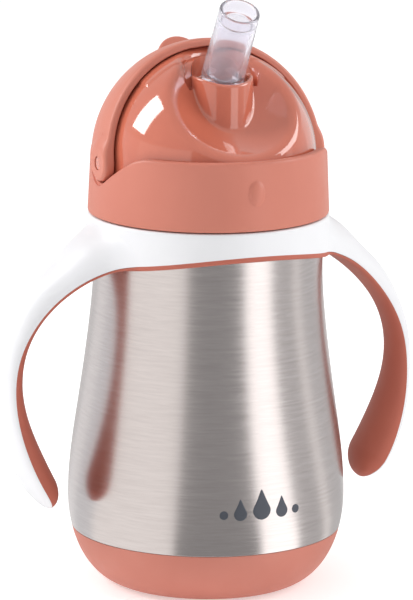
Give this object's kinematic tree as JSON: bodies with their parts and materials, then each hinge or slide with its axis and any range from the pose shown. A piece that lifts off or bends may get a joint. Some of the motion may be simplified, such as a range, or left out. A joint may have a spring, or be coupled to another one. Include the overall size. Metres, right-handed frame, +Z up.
{
  "type": "sippy cup",
  "caption": "Insulated steel toddler cup with two curved soft-lined handles, a screw lid, a folding silicone straw and a swinging dome cover.",
  "frame": {"origin": "middle of the foot, on the surface the cup stands on", "axes": "+Z up the flask, -Y the way the straw leans and the drinker sits, +X and -X the two handles"},
  "size_m": [0.1278, 0.08, 0.1714],
  "materials": {
    "brushed_steel": "brushed round the flask, satin",
    "plain_steel": "electropolished, bright satin",
    "sealing_glass": "small bead of sealing glass, glossy",
    "getter_alloy": "sintered, dull",
    "boot_silicone": "soft matte silicone, terracotta",
    "handle_white": "white satin moulded plastic",
    "grip_soft": "soft-touch matte, terracotta",
    "gasket_silicone": "milky silicone",
    "collar_satin": "satin moulded plastic, terracotta",
    "dome_gloss": "glossy moulded plastic, terracotta",
    "cover_satin": "satin moulded plastic, terracotta",
    "clear_silicone": "clear soft silicone, glossy"
  },
  "bodies": {
    "flask": {"outer_shell": "brushed_steel", "inner_liner": "plain_steel", "base_plate": "plain_steel", "vacuum_seal": "sealing_glass", "getter_cup": "getter_alloy", "base_boot": "boot_silicone"},
    "handles": {"handle_frame": "handle_white", "handle_grip": "grip_soft"},
    "gasket": {"lid_gasket": "gasket_silicone"},
    "lid": {"lid_collar": "collar_satin", "lid_dome": "dome_gloss", "straw_mouthpiece": "clear_silicone", "straw_tube": "clear_silicone", "air_valve": "gasket_silicone"},
    "cover": {"straw_cover": "cover_satin"}
  },
  "joints": [
    {"name": "handle_swivel", "type": "hinge", "parent": "flask", "child": "handles", "pos_m": [0, 0, 0.105], "axis": [0, 0, 1], "continuous": true},
    {"name": "lid_rise", "type": "slide", "parent": "flask", "child": "gasket", "axis": [0, 0, 1], "range_m": [0, 0.006]},
    {"name": "lid_turn", "type": "hinge", "parent": "gasket", "child": "lid", "pos_m": [0, 0, 0.115], "axis": [0, 0, 1], "range_deg": [0, 540]},
    {"name": "cover_turn", "type": "hinge", "parent": "lid", "child": "cover", "pos_m": [0, 0, 0.1241], "axis": [1, 0, 0], "range_deg": [0, 70], "deforming": ["straw_mouthpiece"]}
  ],
  "couplings": [
    {"joint": "lid_rise", "follows": "lid_turn", "m_per_rad": 0.00063662}
  ]
}
